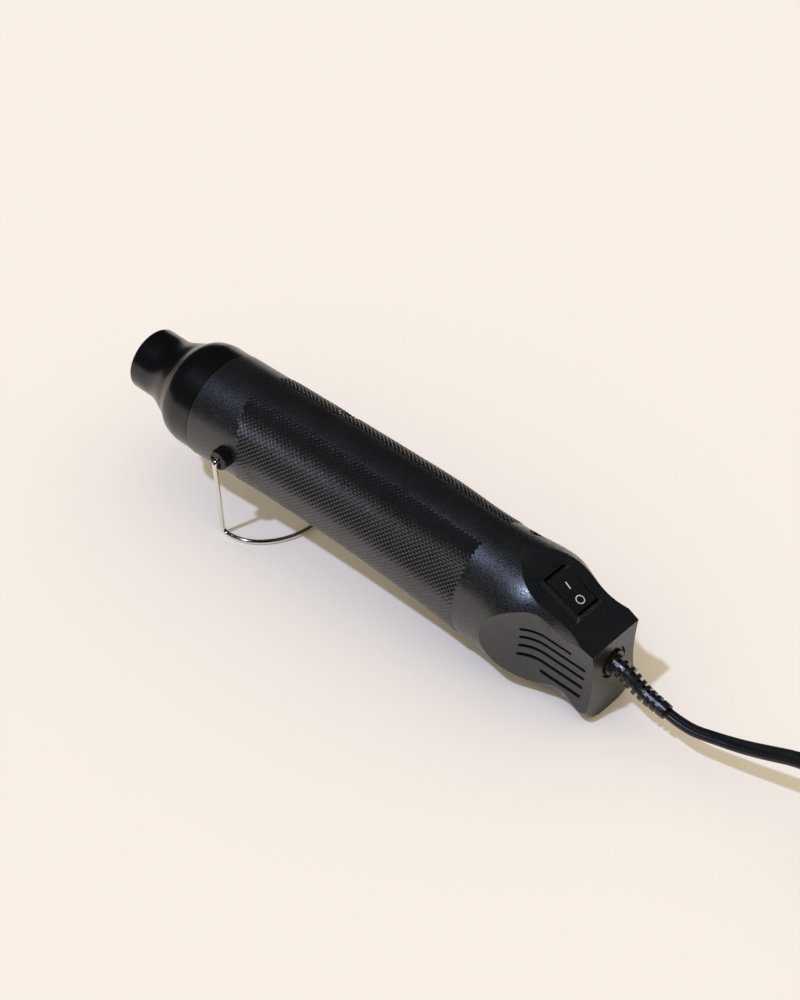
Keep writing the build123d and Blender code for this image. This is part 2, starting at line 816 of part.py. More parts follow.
def make_rotor():
    hub_rear = motor_front - fan_gap
    hub_front = hub_rear - fan_hub_length
    fan = cylinder_along_x(fan_hub_radius, hub_front, hub_rear)
    blade = Pos((hub_front + hub_rear) / 2, 0, 0) * fan_blade()
    for number in range(blade_count):
        fan = fan + blade.rotate(Axis.X, 360 / blade_count * number)
    fan = fan & cylinder_along_x(fan_radius, hub_front, hub_rear)
    fan = fan - cylinder_along_x(shaft_radius + running_clearance, hub_front + overrun,
                                 hub_rear + overrun)
    pieces["fan"] = Pos(0, 0, motor_height) * fan
    pieces["motor_shaft"] = cylinder_along_x(
        shaft_radius, hub_front + overrun + slip_clearance,
        motor_front + motor_bore_depth - slip_clearance, z=motor_height)


# Board
def make_board():
    board = block((board_front, board_rear), both_sides(board_width / 2), (board_bottom, board_top))
    under = board_bottom - pin_reach
    pin_room = 2 * (pin_radius + slip_clearance)
    pin_hole = Box(pin_room, pin_room, 2 * board_thickness + overrun)
    diodes = []
    centre = board_front + diode_place
    height = board_top + diode_lift
    for number in range(diode_count):
        y = (number - (diode_count - 1) / 2) * diode_pitch
        diode = cylinder_along_x(diode_radius, centre - diode_length / 2,
                                 centre + diode_length / 2, y, height)
        pin = block((centre, centre + diode_pin_spread + pin_radius), (y - pin_radius, y + pin_radius),
                    (height - pin_radius, height + pin_radius))
        pin = pin + block(
            (centre + diode_pin_spread - pin_radius, centre + diode_pin_spread + pin_radius),
            (y - pin_radius, y + pin_radius),
            (under, height),
        )
        diodes.append(diode + pin + mirror(pin, Plane(origin=(centre, 0, 0), z_dir=(1, 0, 0))))
        for side in (-1, 1):
            place = centre + side * diode_pin_spread
            board = board - Pos(place, y, board_top) * pin_hole
    place = board_front + capacitor_place
    body = block(
        (place - capacitor_length / 2, place + capacitor_length / 2),
        (capacitor_side - capacitor_width / 2, capacitor_side + capacitor_width / 2),
        (board_top + capacitor_lift, board_top + capacitor_lift + capacitor_height),
    )
    body = fillet(body.edges().filter_by(Axis.Z), pin_bend)
    for side in (-1, 1):
        y = capacitor_side + side * capacitor_pin_spread / 2
        length = board_thickness + pin_reach + capacitor_lift + overrun
        body = body + Pos(place, y, under + length / 2) * Box(2 * pin_radius, 2 * pin_radius, length)
        board = board - Pos(place, y, board_top) * pin_hole
    pieces["circuit_board"] = board
    pieces["rectifier_diodes"] = Compound(diodes)
    pieces["capacitor"] = body


# Switch
def make_switch():
    """The housing snaps into the slope; the rocker turns on two pins in its cheeks."""
    top_length = bezel_length - 2 * bezel_slant
    top_width = bezel_width - 2 * bezel_slant
    bezel = loft([
        RectangleRounded(bezel_length, bezel_width, bezel_corner),
        Pos(0, 0, bezel_height) * RectangleRounded(top_length, top_width, bezel_corner),
    ])
    body = block(both_sides(switch_body_length / 2), both_sides(switch_body_width / 2),
                 (-switch_body_depth, 0))
    housing = bezel + body - block(
        both_sides(rocker_end_radius + rocker_end_gap),
        both_sides(rocker_width / 2 + rocker_side_gap),
        (-switch_room, bezel_height + overrun),
    )
    clip_top = -shell_wall - seat_gap
    clip = Polyline(
        (switch_body_length / 2, clip_top),
        (switch_body_length / 2 + switch_clip_reach, clip_top),
        (switch_body_length / 2, clip_top - switch_clip_length),
        close=True,
    )
    clip = Plane.XZ * make_face(clip)
    clip = extrude(clip, switch_body_width / 4, both=True)
    housing = housing + clip + mirror(clip, Plane.YZ)
    pin_end = rocker_width / 2 + rocker_pin_reach
    pin_hole = cylinder_along_y(rocker_pin_radius + running_clearance, -bezel_width, bezel_width,
                                0, -rocker_pivot_depth)
    cheeks = block(both_sides(switch_body_length / 2), both_sides(switch_body_width / 2),
                   (-switch_body_depth, 0))
    housing = housing - (pin_hole & cheeks)
    pieces["switch_housing"] = slope_plane(0) * Pos(switch_place, 0, running_clearance) * housing

    top = rocker_rise
    side_view = Circle(rocker_end_radius) & make_face(Polyline(
        (-rocker_foot_half, -rocker_foot),
        (-rocker_end_radius, -rocker_shoulder),
        (-rocker_end_radius, rocker_rise),
        (rocker_end_radius, rocker_rise),
        (rocker_end_radius, -rocker_shoulder),
        (rocker_foot_half, -rocker_foot),
        close=True,
    ))
    dish = ThreePointArc((-rocker_half_top, top), (0, top - rocker_dish), (rocker_half_top, top))
    hollow = make_face(Wire([dish, Line(dish @ 1, dish @ 0)]))
    rocker = extrude(Plane.XZ * (side_view - hollow), rocker_width / 2, both=True)
    rocker = rocker + cylinder_along_y(rocker_pin_radius, -pin_end, pin_end, 0, 0)
    rocker = rocker.rotate(Axis.Y, rocker_rest_angle)
    pivot = Pos(switch_place, 0, running_clearance - rocker_pivot_depth)
    pieces["rocker_button"] = slope_plane(0) * pivot * rocker

    blades = []
    for side in (-1, 1):
        centre = side * blade_terminal_place
        blades.append(block(
            (centre - blade_terminal_thickness / 2, centre + blade_terminal_thickness / 2),
            both_sides(blade_terminal_width / 2),
            (-switch_body_depth - blade_terminal_length, -switch_body_depth - slip_clearance),
        ))
    pieces["switch_terminals"] = slope_plane(0) * Pos(switch_place, 0, 0) * Compound(blades)


# Strain relief and clamp
def flat_section(width, thickness, edge):
    """Section of the flat lead: its width upright, its edges bevelled."""
    return make_face(Polyline(
        (width / 2, edge / 2),
        (width / 2, -edge / 2),
        (width / 2 - (thickness - edge) / 2, -thickness / 2),
        (-width / 2 + (thickness - edge) / 2, -thickness / 2),
        (-width / 2, -edge / 2),
        (-width / 2, edge / 2),
        (-width / 2 + (thickness - edge) / 2, thickness / 2),
        (width / 2 - (thickness - edge) / 2, thickness / 2),
        close=True,
    ))


def swept_flat(path):
    """The flat lead along a path that starts with its width upright."""
    along = path % 0
    up = Vector(0, 0, 1) - along * along.Z
    start = Plane(origin=path @ 0, x_dir=up, z_dir=along)
    return sweep(start * flat_section(cord_width, cord_thickness, cord_edge), path=path)


def relief_path():
    origin = Vector(gland_place, 0, gland_height)
    return FilletPolyline(*[origin + Vector(*point) for point in relief_points], radius=relief_radii)


def make_strain_relief():
    """A flange and neck in the rear wall, then a bent tapering boot with ribs."""
    path = relief_path()
    length = path.length

    def radius_at(share):
        return relief_rear_radius + (relief_tip_radius - relief_rear_radius) * share

    def across(share):
        return Plane(origin=path @ share, x_dir=(0, 1, 0), z_dir=path % share)

    relief = cylinder_along_x(relief_flange_radius, flange_front, flange_rear, z=gland_height)
    relief = relief + cylinder_along_x(relief_neck_radius, flange_rear - slip_clearance,
                                       gland_place + slip_clearance, z=gland_height)
    relief = relief + cylinder_along_x(relief_root_radius, gland_place + slip_clearance,
                                       gland_place + relief_rib_thickness, z=gland_height)
    shares = [number / relief_rib_count for number in range(relief_rib_count + 1)]
    core = loft([across(share) * Circle(radius_at(share) * relief_core_share) for share in shares])
    relief = relief + core
    pitch = (length - relief_tip_length) / (relief_rib_count + 1)
    for number in range(1, relief_rib_count + 1):
        share = number * pitch / length
        ring = across(share) * Circle(radius_at(share))
        relief = relief + extrude(ring, relief_rib_thickness)
    tip_share = 1 - relief_tip_length / length
    tip = loft([across(tip_share) * Circle(radius_at(tip_share)), across(1) * Circle(radius_at(1))])
    relief = relief + tip
    pieces["strain_relief"] = relief


def make_clamp():
    """The bar that presses the cord on its saddle, with its two screws, and the cord inside."""
    face = cord_thickness / 2 + slip_clearance
    low = saddle_place - saddle_length / 2
    high = saddle_place + saddle_length / 2
    reach = clamp_screw_spread + clamp_post_radius
    bar = block((low, high), (face, face + clamp_thickness), both_sides(reach))
    screws = []
    for side in (-1, 1):
        height = side * clamp_screw_spread
        foot = cylinder_along_y(clamp_post_radius, -face + slip_clearance, face + slip_clearance,
                                saddle_place, height)
        bar = bar + foot
        bar = bar - cylinder_along_y(screw_radius + slip_clearance, -face - overrun,
                                     face + clamp_thickness + overrun, saddle_place, height)
        screw = screw_along_x(0, 0, 0, 2 * face + clamp_thickness + clamp_screw_length - overrun)
        screws.append(turned_to_y(screw, (saddle_place, face + clamp_thickness + running_clearance,
                                          height + gland_height)))
    pieces["cord_clamp"] = Pos(0, 0, gland_height) * bar
    pieces["clamp_screws"] = Compound(screws)
    inner = Line((inner_cord_front, 0, gland_height), (flange_front, 0, gland_height))
    pieces["inner_cord"] = swept_flat(Wire([inner]))


# Leads inside
def slope_point(along, depth):
    """A point under the slope, on the parting plane."""
    point = slope_plane(depth).origin
    tilt = math.radians(slope_angle)
    return (point.X + along * math.cos(tilt), 0, point.Z - along * math.sin(tilt))


def make_leads():
    core = cord_width / 4
    tip_depth = switch_body_depth + blade_terminal_length + lead_radius + slip_clearance
    rear_tip = slope_point(switch_place + blade_terminal_place, tip_depth)
    front_tip = slope_point(switch_place - blade_terminal_place, tip_depth)
    solder = board_top + slip_clearance
    live = Line((inner_cord_front - slip_clearance, 0, gland_height + core), rear_tip)
    pieces["live_lead"] = swept_round(Wire([live]), lead_radius)
    rear_row = board_rear - lead_bend
    over_board = board_top + 2 * lead_bend
    pieces["switched_lead"] = lead([
        front_tip,
        (front_tip[0] - lead_bend, 0, front_tip[2] - 2 * lead_bend),
        (board_rear + 2 * lead_bend, -capacitor_side, over_board),
        (rear_row, -capacitor_side, over_board),
        (rear_row, -capacitor_side, solder),
    ])
    neutral_side = -2 * capacitor_side
    pieces["neutral_lead"] = lead([
        (inner_cord_front - slip_clearance, 0, gland_height - core),
        (inner_cord_front - 2 * lead_bend, 0, gland_height - core),
        (board_rear + 4 * lead_bend, neutral_side, board_top),
        (board_rear + lead_bend, neutral_side, over_board),
        (rear_row, neutral_side, over_board),
        (rear_row, neutral_side, solder),
    ])
    motor_pair, heater_pair = [], []
    tab_rear = motor_front + motor_length + motor_cap_length + motor_tab_length + slip_clearance
    wall_side = fan_radius + lead_wall_gap + lead_radius
    for side in (-1, 1):
        y = side * motor_tab_place
        motor_pair.append(lead([
            (tab_rear, y, motor_height),
            (tab_rear + lead_bend + lead_radius, y, motor_height),
            (tab_rear + lead_bend + lead_radius, y, solder),
        ]))
        pin_end = base_front + terminal_length + slip_clearance
        y = side * wall_side
        end_y = side * (board_width / 2 - lead_bend)
        heater_pair.append(lead([
            (pin_end, side * terminal_place_radius, 0),
            (pin_end + 2 * lead_bend, side * terminal_place_radius, 0),
            (pin_end + 7 * lead_bend, y, motor_height),
            (board_front - 4 * lead_bend, y, motor_height),
            (board_front - lead_bend, end_y, board_top + 2 * lead_bend),
            (board_front + lead_bend, end_y, board_top + 2 * lead_bend),
            (board_front + lead_bend, end_y, solder),
        ]))
    pieces["motor_leads"] = Compound(motor_pair)
    pieces["heater_leads"] = Compound(heater_pair)


# The whole tool, set on its stand
tool_makers = [make_casing, make_nozzle, make_heater, make_bosses, make_motor, make_rotor,
               make_board, make_switch, make_strain_relief, make_clamp, make_leads]
for make in tool_makers:
    make()

settled_shell = pieces["left_shell"].rotate(Axis.Y, pitch_angle).bounding_box()
tool_lift = -settled_shell.min.Z
settled_nozzle = pieces["nozzle_shroud"].rotate(Axis.Y, pitch_angle).bounding_box()
tool_shift = -(settled_nozzle.min.X + settled_shell.max.X) / 2
settle = Pos(tool_shift, 0, tool_lift) * Rot(0, pitch_angle, 0)
pieces = {name: settle * piece for name, piece in pieces.items()}

hinge = (settle * Pos(stand_place, 0, stand_height)).position
stand_hinge_height = hinge.Z
pieces["wire_stand"] = Pos(hinge.X, 0, hinge.Z) * swept_round(stand_path(), wire_radius)


# Cord outside
def make_cord():
    path = relief_path()
    tip = settle * Pos(*(path @ 1))
    ahead = settle * Pos(*(path @ 1 + path % 1))
    start = tip.position
    along = ahead.position - tip.position
    low = tie_thickness + tie_gap + cord_width / 2
    high = plug_width / 2
    coil_start = (coil_centre[0], coil_centre[1] - coil_outer_radius, low)
    points = [start, start + along * first_run]
    points += [Vector(x, y, z) for x, y, z in cord_route]
    points += [Vector(*coil_start)]
    radii = []
    for before, corner, after in zip(points, points[1:], points[2:]):
        turn = math.radians((corner - before).get_angle(after - corner))
        run = min((corner - before).length, (after - corner).length)
        radii.append(arc_share * run / math.tan(turn / 2))
    print("cord radii", [round(radius, 1) for radius in radii])
    free = FilletPolyline(*points, radius=radii)
    pieces["free_cord"] = swept_flat(free)

    x, y, z = coil_start
    turns = []
    climb = coil_half_turns // 2
    for number in range(coil_half_turns):
        lap = number if number <= climb else 2 * climb - number
        way = 1 if number % 2 == 0 else -1
        radius = coil_outer_radius - coil_step * lap
        end = (x, y + 2 * way * radius, high if number >= climb else low)
        turns.append(half_turn((x, y, z), end, (way, 0, 0)))
        x, y, z = end
    tail = Line((x, y, z), (x + coil_tail, y, z))
    coil = Wire([*turns, tail])
    pieces["cord_coil"] = swept_flat(coil)
    length = free.length + coil.length
    print("cord length", round(length, 1), "free", round(free.length, 1))
    section = flat_section(cord_width, cord_thickness, cord_edge).area
    for name, path in (("free_cord", free), ("cord_coil", coil)):
        print(name, "volume", round(pieces[name].volume, 1), "expected", round(section * path.length, 1))
    print("least coil gap", round(least_coil_gap(turns), 2))
    make_tie(low, high)
    make_plug(x + coil_tail, y, z)


def least_coil_gap(turns):
    """Least gap between turns that pass each other, from points on the middle line."""
    samples = []
    for number, turn in enumerate(turns):
        samples += [(number, turn @ (step / gap_samples)) for step in range(gap_samples)]
    gaps = []
    for index, (number, point) in enumerate(samples):
        for other, place in samples[index + 1:]:
            if other - number < 2:
                continue
            apart = place - point
            level = math.hypot(apart.X, apart.Y) - cord_thickness
            gaps.append(max(level, abs(apart.Z) - cord_width))
    return min(gaps)


def make_tie(low, high):
    """A band round the bundle on the coil's far side."""
    inner_radius = coil_outer_radius - coil_step * (coil_half_turns // 2 - 1)
    half_wide = (coil_outer_radius - inner_radius + cord_thickness) / 2 + 2 * tie_gap
    half_tall = (high - low + cord_width) / 2 + tie_gap
    side = coil_centre[1] + (coil_outer_radius + inner_radius) / 2
    centre = Pos(coil_centre[0], side, (high + low) / 2)
    wide = 2 * (half_wide + tie_thickness)
    tall = 2 * (half_tall + tie_thickness)
    band = Plane.YZ * (
        RectangleRounded(wide, tall, 2 * tie_thickness)
        - RectangleRounded(2 * half_wide, 2 * half_tall, tie_thickness)
    )
    pieces["cord_tie"] = centre * extrude(band, tie_width / 2, both=True)


def make_plug(x, y, z):
    """A moulded two-blade plug with a tapered neck."""
    across = Plane(origin=(x, y, z), x_dir=(0, 0, 1), z_dir=(1, 0, 0))
    neck_end = across * RectangleRounded(plug_neck_width, plug_neck_thickness, plug_neck_thickness / 3)
    body_end = RectangleRounded(plug_width, plug_thickness, plug_corner)
    body_end = across * Pos(0, 0, plug_neck_length) * body_end
    body = extrude(body_end, plug_length - plug_neck_length) + loft([neck_end, body_end])
    blades = []
    front = x + plug_length
    for side in (-1, 1):
        height = z + side * blade_spacing / 2
        blade = block(
            (front - plug_blade_seat, front + plug_blade_length),
            (y - plug_blade_width / 2, y + plug_blade_width / 2),
            (height - plug_blade_thickness / 2, height + plug_blade_thickness / 2),
        )
        socket = block(
            (front - plug_blade_seat - slip_clearance, front + overrun),
            (y - plug_blade_width / 2 - slip_clearance, y + plug_blade_width / 2 + slip_clearance),
            (height - plug_blade_thickness / 2 - slip_clearance,
             height + plug_blade_thickness / 2 + slip_clearance),
        )
        body = body - socket
        hole = Cylinder(plug_hole_radius, 2 * plug_blade_thickness)
        blades.append(blade - Pos(front + plug_hole_place, y, height) * hole)
    pieces["plug_body"] = body
    pieces["plug_blades"] = Compound(blades)


make_cord()

os.makedirs("parts", exist_ok=True)
for name, piece in pieces.items():
    export_step(piece, f"parts/{name}.step")
print("shift", round(tool_shift, 3), "lift", round(tool_lift, 3), "hinge", hinge, "nodes", len(pieces))
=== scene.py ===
import json
import math

import bpy
from mathutils import Matrix, Vector
from mathutils.bvhtree import BVHTree


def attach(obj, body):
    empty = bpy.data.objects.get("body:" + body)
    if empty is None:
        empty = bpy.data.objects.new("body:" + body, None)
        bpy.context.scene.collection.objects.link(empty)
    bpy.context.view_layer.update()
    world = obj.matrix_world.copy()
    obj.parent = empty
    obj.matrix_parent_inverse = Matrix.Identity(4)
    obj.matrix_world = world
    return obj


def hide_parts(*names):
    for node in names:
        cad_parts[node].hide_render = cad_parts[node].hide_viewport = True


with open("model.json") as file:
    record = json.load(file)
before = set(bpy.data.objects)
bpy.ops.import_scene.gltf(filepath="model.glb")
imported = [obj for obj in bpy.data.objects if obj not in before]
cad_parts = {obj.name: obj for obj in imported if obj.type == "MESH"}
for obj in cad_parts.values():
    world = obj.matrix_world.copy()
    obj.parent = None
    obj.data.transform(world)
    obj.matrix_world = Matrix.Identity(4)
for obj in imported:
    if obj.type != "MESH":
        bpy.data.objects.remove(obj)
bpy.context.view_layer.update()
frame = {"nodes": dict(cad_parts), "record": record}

MM = 0.001

# The tool's own frame, X from nozzle to cord, sits in the row frame by this pitch and place
PITCH = math.radians(4.07)
TOOL_SHIFT = -73.933
TOOL_LIFT = 36.76


def placed(x, y, z):
    """A point of the tool's own frame in millimetres, in the row frame in metres."""
    return Vector((
        x * math.cos(PITCH) + z * math.sin(PITCH) + TOOL_SHIFT,
        y,
        -x * math.sin(PITCH) + z * math.cos(PITCH) + TOOL_LIFT,
    )) * MM


def link(name, data):
    piece = bpy.data.objects.new(name, data)
    bpy.context.scene.collection.objects.link(piece)
    return piece


def mesh_piece(name, points, faces, smooth=True):
    mesh = bpy.data.meshes.new(name)
    mesh.from_pydata([tuple(point) for point in points], [], faces)
    mesh.update()
    for face in mesh.polygons:
        face.use_smooth = smooth
    return link(name, mesh)


# Materials
tint_grain = 9.0
tint_detail = 4.0
fine_detail = 2.0
low_share = 0.3
high_share = 0.7
least_rough = 0.04


def surface(name, colour, rough, grain=0.4, depth=0.02, spread=0.08, tint=0.18, metallic=0.0,
            specular=0.5, fleck=0.0):
    """A finish with its own grain: bump and roughness at the grain's size, slow colour changes."""
    material = bpy.data.materials.new(name)
    material.use_nodes = True
    nodes, links = material.node_tree.nodes, material.node_tree.links
    shader = nodes["Principled BSDF"]
    shader.inputs["Metallic"].default_value = metallic
    shader.inputs["Specular IOR Level"].default_value = specular
    place = nodes.new("ShaderNodeTexCoord").outputs["Object"]

    def noise(size, detail):
        texture = nodes.new("ShaderNodeTexNoise")
        texture.inputs["Scale"].default_value = 1 / (size * MM)
        texture.inputs["Detail"].default_value = detail
        links.new(place, texture.inputs["Vector"])
        return texture.outputs["Fac"]

    ramp = nodes.new("ShaderNodeValToRGB")
    ramp.color_ramp.elements[0].position = low_share
    ramp.color_ramp.elements[1].position = high_share
    ramp.color_ramp.elements[0].color = [value * (1 - tint) for value in colour] + [1]
    ramp.color_ramp.elements[1].color = [min(value * (1 + tint), 1) for value in colour] + [1]
    links.new(noise(tint_grain, tint_detail), ramp.inputs["Fac"])
    links.new(ramp.outputs["Color"], shader.inputs["Base Color"])

    fine = noise(grain, fine_detail)
    level = nodes.new("ShaderNodeMapRange")
    level.inputs["From Min"].default_value = low_share
    level.inputs["From Max"].default_value = high_share
    level.inputs["To Min"].default_value = max(rough - spread - fleck, least_rough)
    level.inputs["To Max"].default_value = min(rough + spread, 1.0)
    links.new(fine, level.inputs["Value"])
    links.new(level.outputs["Result"], shader.inputs["Roughness"])

    bump = nodes.new("ShaderNodeBump")
    bump.inputs["Distance"].default_value = depth * MM
    links.new(fine, bump.inputs["Height"])
    links.new(bump.outputs["Normal"], shader.inputs["Normal"])
    return material


black = (0.0105, 0.0105, 0.0115)
deep_black = (0.0048, 0.0048, 0.0054)
finishes = {
    "casing": surface("grained_black", black, 0.38, 0.5, 0.05, 0.12, fleck=0.1, specular=0.9),
    "nozzle": surface("gloss_black", deep_black, 0.24, 1.6, 0.001, 0.01, 0.02, specular=0.5),
    "boss": surface("boss_black", deep_black, 0.2, 0.8, 0.012, 0.05, specular=0.4),
    "stand_wire": surface("polished_wire", (0.78, 0.75, 0.70), 0.12, 1.2, 0.006, 0.05, 0.05, 1.0),
    "steel": surface("bright_steel", (0.58, 0.57, 0.55), 0.28, 0.6, 0.008, 0.08, 0.08, 1.0),
    "mica": surface("mica", (0.66, 0.58, 0.42), 0.4, 1.4, 0.03, 0.1, 0.25),
    "ceramic": surface("ceramic", (0.80, 0.77, 0.71), 0.6, 0.3, 0.03),
    "brass": surface("brass", (0.74, 0.56, 0.27), 0.26, 0.6, 0.008, 0.08, 0.1, 1.0),
    "screw": surface("dark_screw", (0.2, 0.2, 0.21), 0.36, 0.5, 0.01, 0.1, 0.2, 1.0),
    "moulding": surface("inner_moulding", (0.09, 0.09, 0.09), 0.5),
    "fan": surface("fan_grey", (0.4, 0.4, 0.4), 0.45),
    "board": surface("green_laminate", (0.05, 0.2, 0.07), 0.35, 0.5, 0.015),
    "component": surface("component_black", (0.03, 0.03, 0.03), 0.4),
    "capacitor": surface("dipped_red", (0.42, 0.07, 0.035), 0.25),
    "switch_frame": surface("switch_black", black, 0.26, 0.3, 0.01, 0.08, specular=0.9),
    "rocker": surface("rocker_black", black, 0.3, 0.3, 0.01, 0.08, specular=0.6),
    "relief": surface("relief_black", black, 0.27, 0.5, 0.015, 0.08, specular=0.5),
    "cord": surface("cord_black", black, 0.32, 0.9, 0.015, 0.1, specular=0.4),
    "tie": surface("tie_black", (0.02, 0.02, 0.02), 0.45),
    "plug": surface("plug_black", black, 0.36, 0.5, 0.02, 0.1, specular=0.4),
    "lead_brown": surface("lead_brown", (0.16, 0.06, 0.03), 0.35),
    "lead_blue": surface("lead_blue", (0.04, 0.11, 0.38), 0.35),
    "lead_red": surface("lead_red", (0.45, 0.03, 0.02), 0.35),
    "lead_white": surface("glass_sleeve", (0.74, 0.72, 0.67), 0.8, 0.25, 0.05),
}
knurl_black = surface("knurl_black", black, 0.24, 0.5, 0.01, 0.1, specular=1.0)
mark_white = surface("mark_white", (0.62, 0.68, 0.74), 0.5, 0.3, 0.008)

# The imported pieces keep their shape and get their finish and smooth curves
weld_reach = 0.000004
crease_angle = math.radians(26)
slot_of = {part["node"]: part["material_slot"] for part in frame["record"]["subparts"]}
for name, node in frame["nodes"].items():
    finish = finishes[slot_of[name]]
    if not node.material_slots:
        node.data.materials.append(finish)
    for place in node.material_slots:
        place.material = finish
    if "custom_normal" in node.data.attributes:
        node.data.attributes.remove(node.data.attributes["custom_normal"])
    for face in node.data.polygons:
        face.use_smooth = True
    weld = node.modifiers.new("weld", "WELD")
    weld.merge_threshold = weld_reach
    split = node.modifiers.new("crease", "EDGE_SPLIT")
    split.split_angle = crease_angle
    split.use_edge_sharp = False


def tree_of(name):
    mesh = frame["nodes"][name].data
    corners = [point.co for point in mesh.vertices]
    return BVHTree.FromPolygons(corners, [tuple(face.vertices) for face in mesh.polygons])


# Cord: the free stretch, the coil and the tail on one smooth line
core_radius = 1.42
core_offset = 1.38
valley_half = 0.82
core_turn = math.radians(33)
core_steps = 9
coil_centre = (269.5, 14.0)
coil_radius = 37.0
coil_step = 1.8
coil_half_turns = 14
coil_low = 4.15
coil_high = 10.25
tail_length = 27.0
points_per_half = 6
line_steps = 8
line_order = 3
route = [
    (139.161, -1.6, 15.179),
    (148.041, -2.325, 13.901),
    (158.4, -0.7, 15.1),
    (168.4, 0.7, 16.7),
    (178.6, 1.9, 19.7),
    (190.0, 2.7, 24.0),
    (201.8, 2.2, 26.4),
    (213.6, -0.8, 25.0),
    (224.2, -6.2, 20.4),
    (234.0, -13.0, 13.2),
    (244.8, -19.2, 7.4),
    (257.0, -23.0, 4.15),
    (269.5, -23.0, 4.15),
]
roll_angles = [(139.0, 64.0), (160.0, 84.0), (194.0, 131.0), (220.0, 158.0), (250.0, 180.0)]


def coil_points():
    """Control points of the coil, each just outside its arc."""
    points = []
    y = coil_centre[1] - coil_radius
    climb = coil_half_turns // 2
    step = math.pi / points_per_half
    for number in range(coil_half_turns):
        lap = number if number <= climb else 2 * climb - number
        way = 1 if number % 2 == 0 else -1
        radius = coil_radius - coil_step * lap
        for index in range(points_per_half):
            turn = step * (index + 0.5)
            out = radius / math.cos(step / 2)
            rise = 0.0 if number < climb else 1.0
            if number == climb:
                rise = (1 - math.cos(turn)) / 2
            points.append((
                coil_centre[0] + way * out * math.sin(turn),
                y + way * (radius - out * math.cos(turn)),
                coil_low + (coil_high - coil_low) * rise,
            ))
        y += 2 * way * radius
    end = coil_centre[0] + tail_length
    points.append((coil_centre[0] + tail_length / 3, y, coil_high))
    points.append((end - tail_length / 3, y, coil_high))
    points.append((end, y, coil_high))
    return points


def line_through(points):
    """The points of a smooth spline that the control points guide."""
    curve = bpy.data.curves.new("cord_line", "CURVE")
    curve.dimensions = "3D"
    curve.resolution_u = line_steps
    spline = curve.splines.new("NURBS")
    spline.points.add(len(points) - 1)
    for control, point in zip(spline.points, points):
        control.co = (*[value * MM for value in point], 1)
    spline.order_u = line_order
    spline.use_endpoint_u = True
    holder = link("cord_line", curve)
    mesh = bpy.data.meshes.new_from_object(holder)
    line = [point.co.copy() for point in mesh.vertices]
    bpy.data.objects.remove(holder)
    return line


def roll_at(x):
    """How far the lead is rolled about its length, from the places and degrees listed above."""
    for (start, first), (end, last) in zip(roll_angles, roll_angles[1:]):
        if x <= end:
            share = min(max((x - start) / (end - start), 0), 1)
            return math.radians(first + (last - first) * share)
    return math.radians(roll_angles[-1][1])


def core_section():
    """Outline of two cores side by side, across and along the width."""
    upper = []
    for step in range(core_steps):
        turn = -core_turn + (math.pi + 2 * core_turn) * step / (core_steps - 1)
        upper.append((core_radius * math.cos(turn), core_offset + core_radius * math.sin(turn)))
    return [(valley_half, 0.0), *upper, (-valley_half, 0.0), *[(-x, -y) for x, y in upper]]


def make_cord():
    line = line_through(route + coil_points())
    section = core_section()
    points, faces = [], []
    rolling = True
    for index, place in enumerate(line):
        along = (line[min(index + 1, len(line) - 1)] - line[max(index - 1, 0)]).normalized()
        upright = (Vector((0, 0, 1)) - along * along.z).normalized()
        side = along.cross(upright)
        rolling = rolling and place.x / MM < roll_angles[-1][0]
        roll = roll_at(place.x / MM) if rolling else math.pi
        wide = upright * math.cos(roll) + side * math.sin(roll)
        across = side * math.cos(roll) - upright * math.sin(roll)
        points += [place + (across * x + wide * y) * MM for x, y in section]
    count = len(section)
    for ring in range(len(line) - 1):
        for step in range(count):
            after = (step + 1) % count
            faces.append((ring * count + step, ring * count + after,
                          (ring + 1) * count + after, (ring + 1) * count + step))
    last = (len(line) - 1) * count
    faces.append(tuple(range(count - 1, -1, -1)))
    faces.append(tuple(range(last, last + count)))
    cord = mesh_piece("flat_cord", points, faces)
    cord.data.materials.append(finishes["cord"])
    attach(cord, "tool")
    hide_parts("free_cord", "cord_coil")


make_cord()

# Knurled grip: rows of small diamonds on the casing's sides and underside
knurl_pitch = 2.0
knurl_height = 0.34
knurl_lift = 0.03
knurl_radius = 22.0
knurl_axis = 1.5
knurl_front = 18.6
knurl_front_swell = 7.2
knurl_rear = 133.0
near_edge = 6.6
far_edge = 7.6
seam_half = 0.5
cast_reach = 40.0
least_radius = 18.4
greatest_step = 0.45


def knurl_start(turn):
    return knurl_front + knurl_front_swell * math.sin(turn) ** 4


